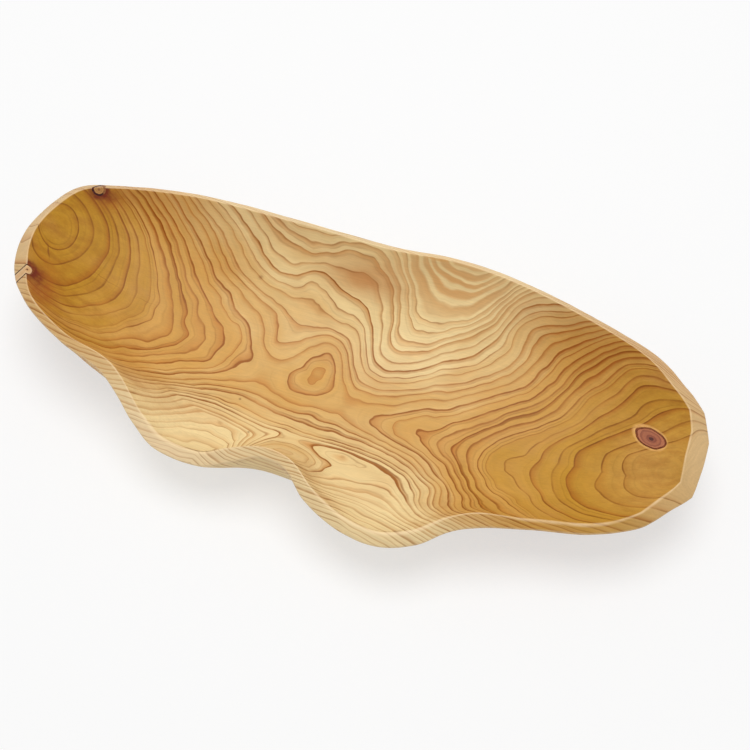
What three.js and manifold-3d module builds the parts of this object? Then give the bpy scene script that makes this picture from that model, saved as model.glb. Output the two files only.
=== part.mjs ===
// Boat-shaped serving bowl carved from one block of root wood, with three dead knots in its wall.
// Millimetres, +Z up. +X runs along the bowl to its blunt end, +Y to its long straight side.
// The origin is on the table, under the middle of the bowl.

import * as THREE from 'three';
import { mergeVertices } from 'three/addons/utils/BufferGeometryUtils.js';
import Module from 'manifold-3d';

const wasm = await Module();
wasm.setup();

// Overall size in plan
const bowlLength = 462;
const bowlWidth = 206;

// Height of the crest, the inner edge of the rim, at the named places
const leftEndHeight = 64;
const backHeight = 61;
const farSideHeight = 56;
const rightEndHeight = 57;
const pinchHeight = 58;
const lobeFlankHeight = 48;
const lobeHeight = 44;
const saddleHeight = 51;
const nearSideHeight = 46;

// Width of the bevel that falls outward from the crest, and its slope
const rightEndBevel = 13.5;
const rightTipBevel = 17;
const rightCornerBevel = 15.5;
const leftEndBevel = 14;
const farSideBevel = 8.5;
const lobeBevel = 9.5;
const saddleBevel = 7;
const slimBevel = 6.5;
const bevelSlope = 40;
const arrisRound = 1.2;

// The hollow and the foot.
// A bearing is taken round the middle of the floor, as if the bowl were as wide as it is long.
const floorThickness = 11;
const hollowLength = 440;
const hollowWidth = 166;
const hollowPower = 3.5;
const hollowFade = 0.75;
const scoopDepth = 5;
const scoopBearing = 76.7;
const scoopSpread = 7.2;
const skirtLength = 454;
const skirtWidth = 178;
const skirtFade = 0.6;
const skirtPower = 2.8;
const footLength = 210;
const footWidth = 92;
const footOffset = 4;
const footFlare = 0.12;

// Dead knots: branch stubs in bark sleeves
const clearance = 0.3;
const barkThickness = 1;
const branchTaper = 0.03;
const endKnotRadius = 2.9;
const endKnotDepth = 1.2;
const endKnotBearing = 181.3;
const backKnotRadius = 3.1;
const backKnotInset = 1.5;
const backKnotBearing = 139.4;
const backKnotFall = 62;
const floorKnotRadius = 4.7;
const floorKnotHeight = 43;
const floorKnotBearing = 6.4;
const floorKnotHeading = -27;
const floorKnotFall = 6;
const floorKnotDepth = 18;
const branchReach = 50;

// Mesh density
const aroundSteps = 144;
const skirtSteps = 9;
const hollowSteps = 13;
const hollowSpacing = 1.25;
const branchSides = 28;
const searchSteps = 4000;

// The outline of the outer rim edge, seen from above and taken anticlockwise from the blunt end.
// along and across are drawn on a box from -1 to 1 that bowlLength and bowlWidth set the size of.
const rimStations = [
  { along: 1.0, across: 0.23, crest: rightEndHeight, bevel: rightTipBevel },
  { along: 0.97, across: 0.39, crest: rightEndHeight, bevel: rightCornerBevel },
  { along: 0.91, across: 0.53, crest: rightEndHeight, bevel: rightCornerBevel },
  { along: 0.82, across: 0.68, crest: rightEndHeight, bevel: rightEndBevel },
  { along: 0.59, across: 0.85, crest: farSideHeight, bevel: farSideBevel },
  { along: 0.385, across: 0.965, crest: farSideHeight, bevel: farSideBevel },
  { along: 0.21, across: 1.0, crest: farSideHeight, bevel: farSideBevel },
  { along: 0.03, across: 0.97, crest: farSideHeight, bevel: farSideBevel },
  { along: -0.26, across: 0.99, crest: farSideHeight, bevel: farSideBevel },
  { along: -0.57, across: 0.955, crest: backHeight, bevel: farSideBevel },
  { along: -0.8, across: 0.87, crest: backHeight, bevel: farSideBevel },
  { along: -0.915, across: 0.785, crest: leftEndHeight, bevel: leftEndBevel },
  { along: -0.975, across: 0.57, crest: leftEndHeight, bevel: leftEndBevel },
  { along: -1.0, across: 0.32, crest: leftEndHeight, bevel: leftEndBevel },
  { along: -0.97, across: 0.04, crest: leftEndHeight, bevel: leftEndBevel },
  { along: -0.88, across: -0.19, crest: leftEndHeight, bevel: slimBevel },
  { along: -0.745, across: -0.365, crest: backHeight, bevel: slimBevel },
  { along: -0.6, across: -0.48, crest: pinchHeight, bevel: lobeBevel },
  { along: -0.475, across: -0.7, crest: lobeFlankHeight, bevel: lobeBevel },
  { along: -0.4, across: -0.8, crest: lobeHeight, bevel: lobeBevel },
  { along: -0.27, across: -0.83, crest: lobeHeight, bevel: lobeBevel },
  { along: -0.19, across: -0.77, crest: lobeFlankHeight, bevel: lobeBevel },
  { along: -0.11, across: -0.7, crest: saddleHeight, bevel: saddleBevel },
  { along: -0.04, across: -0.725, crest: saddleHeight, bevel: saddleBevel },
  { along: 0.03, across: -0.86, crest: lobeFlankHeight, bevel: lobeBevel },
  { along: 0.14, across: -0.97, crest: lobeHeight, bevel: lobeBevel },
  { along: 0.25, across: -1.0, crest: lobeHeight, bevel: lobeBevel },
  { along: 0.345, across: -0.92, crest: lobeHeight, bevel: lobeBevel },
  { along: 0.42, across: -0.8, crest: lobeFlankHeight, bevel: lobeBevel },
  { along: 0.48, across: -0.745, crest: saddleHeight, bevel: lobeBevel },
  { along: 0.61, across: -0.65, crest: nearSideHeight, bevel: saddleBevel },
  { along: 0.765, across: -0.57, crest: nearSideHeight, bevel: slimBevel },
  { along: 0.88, across: -0.45, crest: lobeFlankHeight, bevel: lobeBevel },
  { along: 0.942, across: -0.295, crest: lobeFlankHeight, bevel: lobeBevel },
  { along: 0.988, across: -0.185, crest: saddleHeight, bevel: rightEndBevel },
  { along: 1.0, across: 0.01, crest: rightEndHeight, bevel: rightTipBevel },
];

const fullTurn = 360;
const footCentre = new THREE.Vector3(0, footOffset, 0);
const floorCentre = new THREE.Vector3(0, footOffset, floorThickness);

// The drawn outline, and the crest height and bevel width that go with each place on it
const acrossScale = bowlWidth / bowlLength;
const outline = new THREE.CatmullRomCurve3(
  rimStations.map((station) => new THREE.Vector3(station.along, station.across * acrossScale, 0)),
  true,
);
const rimProfile = new THREE.CatmullRomCurve3(
  rimStations.map((station) => new THREE.Vector3(station.crest, station.bevel, 0)),
  true,
);
outline.arcLengthDivisions = searchSteps;
const drawnBox = new THREE.Box3().setFromPoints(outline.getPoints(searchSteps));
const drawnSize = drawnBox.getSize(new THREE.Vector3());
const drawnMiddle = drawnBox.getCenter(new THREE.Vector3());

// One section through the rim: its outer edge, its crest and the outward direction in plan
function rimSection(share) {
  const place = outline.getUtoTmapping(share);
  const drawn = outline.getPoint(place).sub(drawnMiddle);
  const tangent = outline.getTangent(place);
  const outward = new THREE.Vector3(tangent.y, -tangent.x, 0).normalize();
  const { x: crestHeight, y: bevel } = rimProfile.getPoint(place);
  const slope = THREE.MathUtils.degToRad(bevelSlope);
  const outer = new THREE.Vector3(
    drawn.x * bowlLength / drawnSize.x,
    drawn.y * bowlWidth / drawnSize.y,
    crestHeight - bevel * Math.sin(slope),
  );
  const crest = outer.clone().addScaledVector(outward, -bevel * Math.cos(slope));
  crest.z = crestHeight;
  return { outer, crest, outward };
}

// The angle of a point round the middle of the floor, as if the bowl were as wide as it is long
function roundAngle(point) {
  return Math.atan2((point.y - footOffset) / bowlWidth, point.x / bowlLength);
}

// How far a point lies from a bearing, in degrees
function bearingGap(point, bearing) {
  const pointBearing = THREE.MathUtils.radToDeg(roundAngle(point));
  const gap = THREE.MathUtils.euclideanModulo(pointBearing - bearing, fullTurn);
  return Math.min(gap, fullTurn - gap);
}

// The rim section that lies on a bearing
function sectionAt(bearing) {
  let best = rimSection(0);
  for (let step = 1; step < searchSteps; step += 1) {
    const section = rimSection(step / searchSteps);
    if (bearingGap(section.crest, bearing) < bearingGap(best.crest, bearing)) {
      best = section;
    }
  }
  return best;
}

// A point on an oval round the middle of the floor, in the direction of a rim section
function ovalPoint(section, length, width, height) {
  const angle = roundAngle(section.outer);
  return new THREE.Vector3(length / 2 * Math.cos(angle), footOffset + width / 2 * Math.sin(angle), height);
}

// A point on the hollow: inset is 0 on the crest and 1 at the middle of the floor.
// The lobes of the rim fade into a plain oval on the way down.
function hollowPoint(section, inset) {
  const oval = ovalPoint(section, hollowLength, hollowWidth, section.crest.z);
  const fade = THREE.MathUtils.smoothstep(inset, 0, hollowFade);
  const point = section.crest.clone().lerp(oval, fade).lerp(floorCentre, inset);
  const climb = 1 - inset;
  point.z = floorThickness + (section.crest.z - floorThickness) * climb ** hollowPower;
  const offBearing = bearingGap(section.crest, scoopBearing) / scoopSpread;
  const scoop = scoopDepth * Math.exp(-(offBearing ** 2)) * Math.sin(Math.PI * inset) * climb;
  return point.addScaledVector(section.outward, scoop);
}

// The edge of the flat foot below a rim section
function footPoint(section) {
  return ovalPoint(section, footLength, footWidth, 0);
}

// A point on the skirt, the outer wall: inset is 0 on the outer rim edge and 1 on the edge of the foot
function skirtPoint(section, inset) {
  const oval = ovalPoint(section, skirtLength, skirtWidth, section.outer.z);
  const fade = THREE.MathUtils.smoothstep(inset, 0, skirtFade);
  const point = section.outer.clone().lerp(oval, fade).lerp(footPoint(section), inset);
  const climb = 1 - inset;
  point.z = section.outer.z * ((1 - footFlare) * climb ** skirtPower + footFlare * climb);
  return point;
}

function midpoint(from, to) {
  return from.clone().add(to).divideScalar(2);
}

// One section's outline, from the middle of the foot to the middle of the floor, without those two
function sectionOutline(section) {
  const points = [midpoint(footCentre, footPoint(section))];
  for (let step = skirtSteps; step > 0; step -= 1) {
    points.push(skirtPoint(section, step / skirtSteps));
  }
  const hollow = [];
  for (let step = 1; step < hollowSteps; step += 1) {
    hollow.push(hollowPoint(section, (step / hollowSteps) ** hollowSpacing));
  }
  const upBevel = section.crest.clone().sub(section.outer).normalize();
  const downSkirt = skirtPoint(section, 1 / skirtSteps).sub(section.outer).normalize();
  const downHollow = hollow[0].clone().sub(section.crest).normalize();
  points.push(section.outer.clone().addScaledVector(downSkirt, arrisRound));
  points.push(section.outer.clone().addScaledVector(upBevel, arrisRound));
  points.push(midpoint(section.outer, section.crest));
  points.push(section.crest.clone().addScaledVector(upBevel, -arrisRound));
  points.push(section.crest.clone().addScaledVector(downHollow, arrisRound));
  return points.concat(hollow);
}

// A closed skin over the section outlines, with a fan at the middle of the foot and of the floor
function makeBlank() {
  const outlines = [];
  for (let step = 0; step < aroundSteps; step += 1) {
    outlines.push(sectionOutline(rimSection(step / aroundSteps)));
  }
  const rows = outlines[0].length;
  const positions = outlines.flat().flatMap((point) => point.toArray());
  const footIndex = positions.length / 3;
  const floorIndex = footIndex + 1;
  positions.push(...footCentre.toArray(), ...floorCentre.toArray());
  const triangles = [];
  for (let step = 0; step < aroundSteps; step += 1) {
    const here = step * rows;
    const next = ((step + 1) % aroundSteps) * rows;
    triangles.push(footIndex, next, here);
    for (let row = 0; row + 1 < rows; row += 1) {
      triangles.push(here + row, next + row, next + row + 1);
      triangles.push(here + row, next + row + 1, here + row + 1);
    }
    triangles.push(here + rows - 1, next + rows - 1, floorIndex);
  }
  const geometry = new THREE.BufferGeometry();
  geometry.setAttribute('position', new THREE.Float32BufferAttribute(positions, 3));
  geometry.setIndex(triangles);
  return geometry;
}

function toSolid(geometry) {
  const bare = geometry.clone();
  bare.deleteAttribute('normal');
  bare.deleteAttribute('uv');
  const merged = mergeVertices(bare);
  return new wasm.Manifold(new wasm.Mesh({
    numProp: 3,
    vertProperties: new Float32Array(merged.attributes.position.array),
    triVerts: new Uint32Array(merged.index.array),
  }));
}

function toGeometry(solid) {
  const mesh = solid.getMesh();
  const geometry = new THREE.BufferGeometry();
  geometry.setAttribute('position', new THREE.BufferAttribute(mesh.vertProperties, 3));
  geometry.setIndex(new THREE.BufferAttribute(mesh.triVerts, 1));
  geometry.computeVertexNormals();
  return geometry;
}

// A tapered branch through a point, thicker along its heading, where it ends at a depth from the point
function branchSolid(knot, radius, depth) {
  const topRadius = radius + branchTaper * depth;
  const bottomRadius = radius - branchTaper * branchReach;
  const geometry = new THREE.CylinderGeometry(topRadius, bottomRadius, branchReach + depth, branchSides);
  geometry.translate(0, (depth - branchReach) / 2, 0);
  const upright = new THREE.Vector3(0, 1, 0);
  geometry.applyQuaternion(new THREE.Quaternion().setFromUnitVectors(upright, knot.heading));
  geometry.translate(knot.point.x, knot.point.y, knot.point.z);
  return toSolid(geometry);
}

// The end knot lies just under the bevel and runs down along it
function placeEndKnot() {
  const section = sectionAt(endKnotBearing);
  const heading = section.outer.clone().sub(section.crest).normalize();
  const aroundRim = new THREE.Vector3(-section.outward.y, section.outward.x, 0);
  const intoWood = aroundRim.cross(heading).normalize();
  const point = midpoint(section.crest, section.outer).addScaledVector(intoWood, endKnotDepth);
  return { point, heading, radius: endKnotRadius, depth: branchReach };
}

// A level direction turned downward by an angle in degrees
function tiltedDown(direction, fall) {
  const angle = THREE.MathUtils.degToRad(fall);
  const heading = direction.clone().multiplyScalar(Math.cos(angle));
  heading.z = -Math.sin(angle);
  return heading;
}

// The back knot starts at the crest and runs down and outward through the wall
function placeBackKnot() {
  const section = sectionAt(backKnotBearing);
  const point = section.crest.clone().addScaledVector(section.outward, -backKnotInset);
  const heading = tiltedDown(section.outward, backKnotFall);
  return { point, heading, radius: backKnotRadius, depth: branchReach };
}

// The floor knot runs into the end wall, falling a little, and ends inside the wood
function placeFloorKnot() {
  const section = sectionAt(floorKnotBearing);
  const share = (floorKnotHeight - floorThickness) / (section.crest.z - floorThickness);
  const point = hollowPoint(section, 1 - share ** (1 / hollowPower));
  const turn = THREE.MathUtils.degToRad(floorKnotHeading);
  const level = new THREE.Vector3(Math.cos(turn), Math.sin(turn), 0);
  const heading = tiltedDown(level, floorKnotFall);
  return { point, heading, radius: floorKnotRadius, depth: floorKnotDepth };
}

function addPart(group, name, solid, finish) {
  const material = new THREE.MeshStandardMaterial({ metalness: 0, ...finish });
  const mesh = new THREE.Mesh(toGeometry(solid), material);
  mesh.name = name;
  group.add(mesh);
}

const bodyFinish = { color: 0xd8b06c, roughness: 0.45 };
const knotFinish = { color: 0xb08350, roughness: 0.5 };
const barkFinish = { color: 0x3a241a, roughness: 0.8 };

const bowl = new THREE.Group();
const blank = toSolid(makeBlank());
const knots = {
  end_knot: placeEndKnot(),
  back_knot: placeBackKnot(),
  floor_knot: placeFloorKnot(),
};

let body = blank;
for (const [name, knot] of Object.entries(knots)) {
  const barkInside = knot.radius + clearance;
  const barkOutside = barkInside + barkThickness;
  const core = branchSolid(knot, barkInside, knot.depth + clearance);
  const bark = branchSolid(knot, barkOutside, knot.depth).subtract(core);
  body = body.subtract(branchSolid(knot, barkOutside + clearance, knot.depth + clearance));
  addPart(bowl, name, blank.intersect(branchSolid(knot, knot.radius, knot.depth)), knotFinish);
  addPart(bowl, `${name}_bark`, blank.intersect(bark), barkFinish);
}
addPart(bowl, 'bowl_body', body, bodyFinish);

export default bowl;
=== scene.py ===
import math
import bmesh
import bpy
from types import SimpleNamespace
from mathutils import Matrix, Vector, kdtree, noise


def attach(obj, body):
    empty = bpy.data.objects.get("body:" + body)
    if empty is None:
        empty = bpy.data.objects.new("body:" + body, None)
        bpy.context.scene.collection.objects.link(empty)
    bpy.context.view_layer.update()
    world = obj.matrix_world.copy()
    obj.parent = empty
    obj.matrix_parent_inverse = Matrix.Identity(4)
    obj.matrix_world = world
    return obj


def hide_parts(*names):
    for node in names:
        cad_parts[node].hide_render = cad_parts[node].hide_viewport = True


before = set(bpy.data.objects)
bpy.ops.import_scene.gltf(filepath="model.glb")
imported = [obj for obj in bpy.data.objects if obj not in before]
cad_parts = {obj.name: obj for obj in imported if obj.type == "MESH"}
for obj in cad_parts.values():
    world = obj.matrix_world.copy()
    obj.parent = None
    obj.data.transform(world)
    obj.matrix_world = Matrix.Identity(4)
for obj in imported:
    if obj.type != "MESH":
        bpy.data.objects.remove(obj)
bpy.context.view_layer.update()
mm = 0.001
print("frame loaded:", ", ".join(sorted(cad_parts)))


# the carved bowl, in millimetres: one closed skin through rim, hollow, skirt and foot
bowl = {
    "length": 462, "width": 206,
    "bevelSlope": 40, "outerSoft": 1.4,
    "crestSoft": 0.9, "lobeSoft": 1.8, "lobeSoftFrom": 50, "lobeSoftTo": 44,
    "floorThickness": 11, "hollowLength": 440, "hollowWidth": 166,
    "hollowPower": 3.5, "hollowFade": 0.75,
    "scoopDepth": 5, "scoopBearing": 76.7, "scoopSpread": 7.2,
    "skirtLength": 454, "skirtWidth": 178, "skirtPower": 2.8, "skirtFade": 0.6,
    "footLength": 210, "footWidth": 92, "footOffset": 4, "footFlare": 0.12,
    "around": 480, "traceSteps": 6000, "skirtRows": 22, "bevelRows": 3, "arrisRows": 4,
    "hollowRows": 36, "hollowSpacing": 1.25, "sharpAngle": 38,
    # gouge marks: depth, size, share and rate of the finer ones, height they start at
    "toolMark": 0.35, "toolMarkSize": 26, "fineMark": 0.5, "fineMarkRate": 2.3, "markFrom": 1,
    # corners of the knife cuts, as shares of the way round the rim
    "facets": (-0.0695, -0.038, -0.021, -0.0035, 0.0139, 0.0278, 0.0417), "facetFlat": 0.7,
}

# outer rim edge seen from above, anticlockwise from the blunt end:
# along and across on a box from -1 to 1, crest height, bevel width
rimStations = [
    (1.0, 0.23, 57, 17), (0.97, 0.39, 57, 15.5), (0.91, 0.53, 57, 15.5), (0.82, 0.68, 57, 13.5),
    (0.59, 0.85, 56, 8.5), (0.385, 0.965, 56, 8.5), (0.21, 1.0, 56, 8.5), (0.03, 0.97, 56, 8.5),
    (-0.26, 0.99, 56, 8.5), (-0.57, 0.955, 61, 8.5), (-0.8, 0.87, 61, 8.5), (-0.915, 0.785, 64, 14),
    (-0.975, 0.57, 64, 14), (-1.0, 0.32, 64, 14), (-0.97, 0.04, 64, 14), (-0.88, -0.19, 64, 6.5),
    (-0.745, -0.365, 61, 6.5), (-0.6, -0.48, 58, 9.5), (-0.475, -0.7, 48, 9.5), (-0.4, -0.8, 44, 9.5),
    (-0.27, -0.83, 44, 9.5), (-0.19, -0.77, 48, 9.5), (-0.11, -0.7, 51, 7), (-0.04, -0.725, 51, 7),
    (0.03, -0.86, 48, 9.5), (0.14, -0.97, 44, 9.5), (0.25, -1.0, 44, 9.5), (0.345, -0.92, 44, 9.5),
    (0.42, -0.8, 48, 9.5), (0.48, -0.745, 51, 9.5), (0.61, -0.65, 46, 7), (0.765, -0.57, 46, 6.5),
    (0.88, -0.45, 48, 9.5), (0.942, -0.295, 48, 9.5), (0.988, -0.185, 51, 13.5), (1.0, 0.01, 57, 17),
]

tiny = 1e-4  # the least step or gap along a spline
arrisShares = [k / bowl["arrisRows"] for k in range(bowl["arrisRows"] + 1)]


def splinePoint(points, place):
    # closed centripetal spline through the points, place from 0 to 1
    count = len(points)
    step = place * count
    first = int(step) % count
    share = step - int(step)
    p0, p1, p2, p3 = (points[(first + k) % count] for k in (-1, 0, 1, 2))
    d0, d1, d2 = ((b - a).length ** 0.5 for a, b in ((p0, p1), (p1, p2), (p2, p3)))
    d1 = d1 if d1 > tiny else 1
    d0 = d0 if d0 > tiny else d1
    d2 = d2 if d2 > tiny else d1
    t1 = ((p1 - p0) / d0 - (p2 - p0) / (d0 + d1) + (p2 - p1) / d1) * d1
    t2 = ((p2 - p1) / d1 - (p3 - p1) / (d1 + d2) + (p3 - p2) / d2) * d1
    squared, cubed = 3 * (p2 - p1) - 2 * t1 - t2, 2 * (p1 - p2) + t1 + t2
    return p1 + t1 * share + squared * share ** 2 + cubed * share ** 3


def traceRim():
    # even steps along the rim: outer edge, crest and outward direction at each
    drawn = [Vector((a, c * bowl["width"] / bowl["length"], 0)) for a, c, h, b in rimStations]
    profile = [Vector((h, b, 0)) for a, c, h, b in rimStations]
    fine = bowl["traceSteps"]
    line = [splinePoint(drawn, k / fine) for k in range(fine)]
    least = Vector((min(p.x for p in line), min(p.y for p in line), 0))
    most = Vector((max(p.x for p in line), max(p.y for p in line), 0))
    middle, size = (least + most) / 2, most - least
    run = [0]
    for k in range(fine):
        run.append(run[-1] + (line[(k + 1) % fine] - line[k]).length)
    slope = math.radians(bowl["bevelSlope"])
    sections, k = [], 0
    for step in range(bowl["around"]):
        wanted = run[-1] * step / bowl["around"]
        while run[k + 1] < wanted:
            k += 1
        place = (k + (wanted - run[k]) / (run[k + 1] - run[k])) / fine
        here = splinePoint(drawn, place) - middle
        tangent = splinePoint(drawn, (place + tiny) % 1) - splinePoint(drawn, (place - tiny) % 1)
        outward = Vector((tangent.y, -tangent.x, 0)).normalized()
        height, bevel = splinePoint(profile, place).xy
        outer = Vector((here.x * bowl["length"] / size.x, here.y * bowl["width"] / size.y,
                        height - bevel * math.sin(slope)))
        crest = outer - outward * bevel * math.cos(slope)
        crest.z = height
        low = smoothStep(bowl["lobeSoftFrom"], bowl["lobeSoftTo"], height)
        soft = bowl["crestSoft"] + bowl["lobeSoft"] * low
        sections.append({"outer": outer, "crest": crest, "outward": outward, "soft": soft})
    flattenFacets(sections)
    return sections


def flattenFacets(sections):
    # straight knife cuts between corners of the rim at the blunt end
    corners = [round(share * bowl["around"]) for share in bowl["facets"]]
    for first, last in zip(corners, corners[1:]):
        for step in range(first + 1, last):
            for edge in ("outer", "crest"):
                chord = sections[first][edge].lerp(sections[last][edge], (step - first) / (last - first))
                sections[step][edge] = sections[step][edge].lerp(chord, bowl["facetFlat"])


def roundAngle(point):
    return math.atan2((point.y - bowl["footOffset"]) / bowl["width"], point.x / bowl["length"])


def smoothStep(low, high, value):
    share = min(max((value - low) / (high - low), 0), 1)
    return share * share * (3 - 2 * share)


def ovalPoint(section, length, width, height):
    angle = roundAngle(section["outer"])
    across = bowl["footOffset"] + width / 2 * math.sin(angle)
    return Vector((length / 2 * math.cos(angle), across, height))


def hollowPoint(section, inset):
    crest = section["crest"]
    floor = Vector((0, bowl["footOffset"], bowl["floorThickness"]))
    oval = ovalPoint(section, bowl["hollowLength"], bowl["hollowWidth"], crest.z)
    point = crest.lerp(oval, smoothStep(0, bowl["hollowFade"], inset)).lerp(floor, inset)
    climb = 1 - inset
    point.z = floor.z + (crest.z - floor.z) * climb ** bowl["hollowPower"]
    gap = abs((math.degrees(roundAngle(crest)) - bowl["scoopBearing"] + 180) % 360 - 180)
    scoop = bowl["scoopDepth"] * math.exp(-(gap / bowl["scoopSpread"]) ** 2)
    return point + section["outward"] * (scoop * math.sin(math.pi * inset) * climb)


def skirtPoint(section, inset):
    outer = section["outer"]
    foot = ovalPoint(section, bowl["footLength"], bowl["footWidth"], 0)
    oval = ovalPoint(section, bowl["skirtLength"], bowl["skirtWidth"], outer.z)
    point = outer.lerp(oval, smoothStep(0, bowl["skirtFade"], inset)).lerp(foot, inset)
    climb = 1 - inset
    flare = bowl["footFlare"]
    point.z = outer.z * ((1 - flare) * climb ** bowl["skirtPower"] + flare * climb)
    return point


def softCorner(before, corner, after):
    # rows that round off one arris between two faces
    return [before.lerp(corner, k).lerp(corner.lerp(after, k), k) for k in arrisShares]


def sectionRows(section):
    # from the edge of the foot, over the rim, to near the middle of the floor
    outer, crest = section["outer"], section["crest"]
    skirt = [skirtPoint(section, k / bowl["skirtRows"]) for k in range(bowl["skirtRows"], 0, -1)]
    hollow = [hollowPoint(section, (k / bowl["hollowRows"]) ** bowl["hollowSpacing"])
              for k in range(1, bowl["hollowRows"])]
    upBevel = (crest - outer).normalized()
    downSkirt = (skirt[-1] - outer).normalized()
    downHollow = (hollow[0] - crest).normalized()
    low, high = bowl["outerSoft"], section["soft"]
    lowEdge = softCorner(outer + downSkirt * low, outer, outer + upBevel * low)
    highEdge = softCorner(crest - upBevel * high, crest, crest + downHollow * high)
    bevel = [lowEdge[-1].lerp(highEdge[0], k / bowl["bevelRows"]) for k in range(1, bowl["bevelRows"])]
    return skirt + lowEdge + bevel + highEdge + hollow


def listMarks():
    # bevel and arris share of each row
    marks = [(0, 0)] * bowl["skirtRows"]
    marks += [(k, math.sin(math.pi * k)) for k in arrisShares]
    marks += [(1, 0)] * (bowl["bevelRows"] - 1)
    marks += [(1 - k, math.sin(math.pi * k)) for k in arrisShares]
    return marks + [(0, 0)] * (bowl["hollowRows"] - 1)


def carveBlank():
    sections = traceRim()
    table = [sectionRows(section) for section in sections]
    bm = bmesh.new()
    stepOf = bm.verts.layers.int.new("step")
    rowOf = bm.verts.layers.int.new("row")
    ring = bmesh.ops.create_circle(bm, segments=bowl["around"], radius=1)["verts"]
    for step, vert in enumerate(ring):
        vert[stepOf] = step
        vert.co = table[step][0]
    edges = list(bm.edges)
    bmesh.ops.contextual_create(bm, geom=edges)
    for row in range(1, len(table[0])):
        grown = bmesh.ops.extrude_edge_only(bm, edges=edges)["geom"]
        edges = [g for g in grown if isinstance(g, bmesh.types.BMEdge)]
        for vert in (g for g in grown if isinstance(g, bmesh.types.BMVert)):
            vert.co = table[vert[stepOf]][row]
            vert[rowOf] = row
    bmesh.ops.contextual_create(bm, geom=edges)
    bmesh.ops.recalc_face_normals(bm, faces=bm.faces)
    bm.normal_update()
    for vert in bm.verts:  # shallow marks of the gouge, none on the foot
        if vert.co.z > bowl["markFrom"]:
            spread = vert.co / bowl["toolMarkSize"]
            mark = noise.noise(spread) + bowl["fineMark"] * noise.noise(spread * bowl["fineMarkRate"])
            vert.co += vert.normal * mark * bowl["toolMark"]
    bmesh.ops.scale(bm, vec=(mm, mm, mm), verts=bm.verts)
    bmesh.ops.triangulate(bm, faces=bm.faces)  # so that the cuts leave no folded slivers
    return meshObject("blank", bm)


def meshObject(name, bm):
    mesh = bpy.data.meshes.new(name)
    bm.to_mesh(mesh)
    bm.free()
    piece = bpy.data.objects.new(name, mesh)
    bpy.context.scene.collection.objects.link(piece)
    return piece


def applied(piece, name):
    # a new object with the modifiers of the first one made real
    seen = piece.evaluated_get(bpy.context.evaluated_depsgraph_get())
    mesh = bpy.data.meshes.new_from_object(seen)
    mesh.name = name
    made = bpy.data.objects.new(name, mesh)
    bpy.context.scene.collection.objects.link(made)
    return made


def softShade(piece):
    piece.data.shade_smooth()
    piece.data.set_sharp_from_angle(angle=math.radians(bowl["sharpAngle"]))


blank = carveBlank()
rowMarks = listMarks()
rowOf = [item.value for item in blank.data.attributes["row"].data]
guide = kdtree.KDTree(len(blank.data.vertices))
for vert in blank.data.vertices:
    guide.insert(vert.co, vert.index)
guide.balance()
print("blank carved:", len(blank.data.polygons), "faces")


def tint(red, green, blue):
    # a colour given 0 to 255, made linear
    shares = [v / 255 for v in (red, green, blue)]
    return tuple((v / 12.92 if v < 0.0404 else ((v + 0.055) / 1.055) ** 2.4) for v in shares) + (1,)


# dead knots: a tapered stub in a sleeve of bark, each cut from the same blank
knots = {
    "end": {
        "point": (-214.76, -0.40, 59.43), "heading": (-0.61, -0.46, -0.64),
        "radius": 3.3, "depth": 50, "bark": 0.75, "ringRate": 1.1, "heartSize": 0.95,
        "wood": tint(232, 196, 146), "inner": tint(214, 164, 108), "ring": tint(198, 142, 88),
        "heart": tint(96, 52, 30), "barkDark": tint(40, 22, 18), "barkLight": tint(84, 46, 34),
        "barkFade": tint(150, 86, 52), "fadeTo": (0.9, 0.2, -0.3),
    },
    "back": {
        "point": (-195.18, 77.35, 62.22), "heading": (-0.11, 0.46, -0.88),
        "radius": 3.0, "depth": 50, "bark": 1.1, "ringRate": 0.9, "heartSize": 0.7,
        "wood": tint(192, 142, 80), "inner": tint(176, 124, 66), "ring": tint(116, 66, 32),
        "heart": tint(128, 76, 42), "barkDark": tint(42, 20, 18), "barkLight": tint(96, 44, 40),
        "barkFade": tint(168, 112, 66), "fadeTo": (0.8, 0.6, 0),
    },
    "floor": {
        "point": (196.39, 13.77, 43.0), "heading": (0.89, -0.45, -0.1),
        "radius": 5.1, "depth": 18, "bark": 0.75, "ringRate": 0.45, "heartSize": 1.3,
        "wood": tint(178, 110, 76), "inner": tint(146, 82, 60), "ring": tint(116, 58, 44),
        "heart": tint(66, 28, 26), "barkDark": tint(94, 44, 26), "barkLight": tint(134, 72, 40),
        "barkFade": tint(140, 82, 52), "fadeTo": (0.3, 0.9, 0.3),
    },
}
sleeve = {"clearance": 0.12, "taper": 0.03, "reach": 50, "sides": 72, "lump": 0.14, "lumpRate": 1.3}


def branchCutter(knot, grow, deeper=0):
    depth = knot["depth"] + deeper
    radius = knot["radius"] + grow
    bm = bmesh.new()
    bmesh.ops.create_cone(bm, cap_ends=True, segments=sleeve["sides"],
                          depth=(sleeve["reach"] + depth) * mm,
                          radius1=(radius - sleeve["taper"] * sleeve["reach"]) * mm,
                          radius2=(radius + sleeve["taper"] * depth) * mm)
    bmesh.ops.translate(bm, vec=(0, 0, (depth - sleeve["reach"]) / 2 * mm), verts=bm.verts)
    for vert in bm.verts:  # no branch is quite round
        side = vert.co.xy.normalized()
        lump = noise.noise(side.to_3d() * sleeve["lumpRate"] + Vector(knot["point"]))
        vert.co.xy += side * lump * sleeve["lump"] * knot["radius"] * mm
    turn = Vector((0, 0, 1)).rotation_difference(Vector(knot["heading"])).to_matrix().to_4x4()
    move = Matrix.Translation(Vector(knot["point"]) * mm)
    bmesh.ops.transform(bm, matrix=move @ turn, verts=bm.verts)
    bmesh.ops.triangulate(bm, faces=bm.faces)
    return meshObject("branch", bm)


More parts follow.
